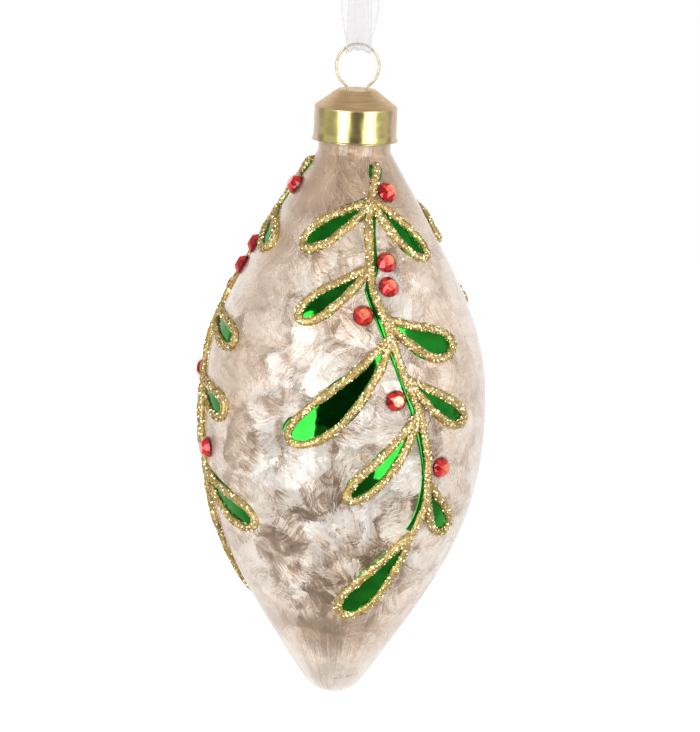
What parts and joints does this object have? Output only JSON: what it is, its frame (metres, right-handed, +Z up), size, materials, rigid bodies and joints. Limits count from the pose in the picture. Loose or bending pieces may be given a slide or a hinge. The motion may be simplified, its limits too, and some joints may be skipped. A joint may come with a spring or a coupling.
{
  "type": "glass finial ornament",
  "caption": "Hanging blown-glass finial ornament with a metal cap, wire ring, ribbon loop and painted leaf sprigs set with red stones.",
  "frame": {"origin": "the point where a hook holds the ribbon loop, inside its top under the knot", "axes": "+Z up along the ornament's axis, -Y towards the front sprig, +X to the right seen from the front"},
  "size_m": [0.0668, 0.0682, 0.2264],
  "materials": {
    "frosted_glass": "clear gloss over a pearly champagne ice-crystal frost inside the glass",
    "gold_cap": "stamped thin metal, gold lacquered: satin cone, mirror-bright band",
    "gold_wire": "pale gold drawn spring wire",
    "organza": "sheer white woven organza with denser woven edges",
    "gold_glitter": "raised glue line covered in gold glitter",
    "green_lacquer": "transparent green lacquer over bright silvering, glossy",
    "red_stone": "faceted foiled red acrylic stone"
  },
  "bodies": {
    "ribbon": {"ribbon_loop": "organza", "ribbon_knot": "organza"},
    "cap": {"metal_cap": "gold_cap", "hanger_wire": "gold_wire"},
    "glass": {"glass_body": "frosted_glass", "front_glitter_outline": "gold_glitter", "front_leaf_1": "green_lacquer", "front_leaf_2": "green_lacquer", "front_leaf_3": "green_lacquer", "front_leaf_4": "green_lacquer", "front_leaf_5": "green_lacquer", "front_leaf_6": "green_lacquer", "front_leaf_7": "green_lacquer", "front_leaf_8": "green_lacquer", "front_leaf_9": "green_lacquer", "front_stone_1": "red_stone", "front_stone_2": "red_stone", "front_stone_3": "red_stone", "front_stone_4": "red_stone", "front_stone_5": "red_stone", "front_stone_6": "red_stone", "left_glitter_outline": "gold_glitter", "left_leaf_1": "green_lacquer", "left_leaf_2": "green_lacquer", "left_leaf_3": "green_lacquer", "left_leaf_4": "green_lacquer", "left_leaf_5": "green_lacquer", "left_leaf_6": "green_lacquer", "left_leaf_7": "green_lacquer", "left_leaf_8": "green_lacquer", "left_leaf_9": "green_lacquer", "left_stone_1": "red_stone", "left_stone_2": "red_stone", "left_stone_3": "red_stone", "left_stone_4": "red_stone", "left_stone_5": "red_stone", "left_stone_6": "red_stone", "right_glitter_outline": "gold_glitter", "right_leaf_1": "green_lacquer", "right_leaf_2": "green_lacquer", "right_leaf_3": "green_lacquer", "right_leaf_4": "green_lacquer", "right_leaf_5": "green_lacquer", "right_leaf_6": "green_lacquer", "right_leaf_7": "green_lacquer", "right_leaf_8": "green_lacquer", "right_leaf_9": "green_lacquer", "right_stone_1": "red_stone", "right_stone_2": "red_stone", "right_stone_3": "red_stone", "right_stone_4": "red_stone", "right_stone_5": "red_stone", "right_stone_6": "red_stone"}
  },
  "joints": [
    {"name": "ring_swing", "type": "hinge", "parent": "ribbon", "child": "cap", "pos_m": [0, 0, -0.057], "axis": [1, 0, 0], "range_deg": [-40, 40]},
    {"name": "cap_pull_off", "type": "slide", "parent": "cap", "child": "glass", "axis": [0, 0, -1], "range_m": [0, 0.026]}
  ]
}
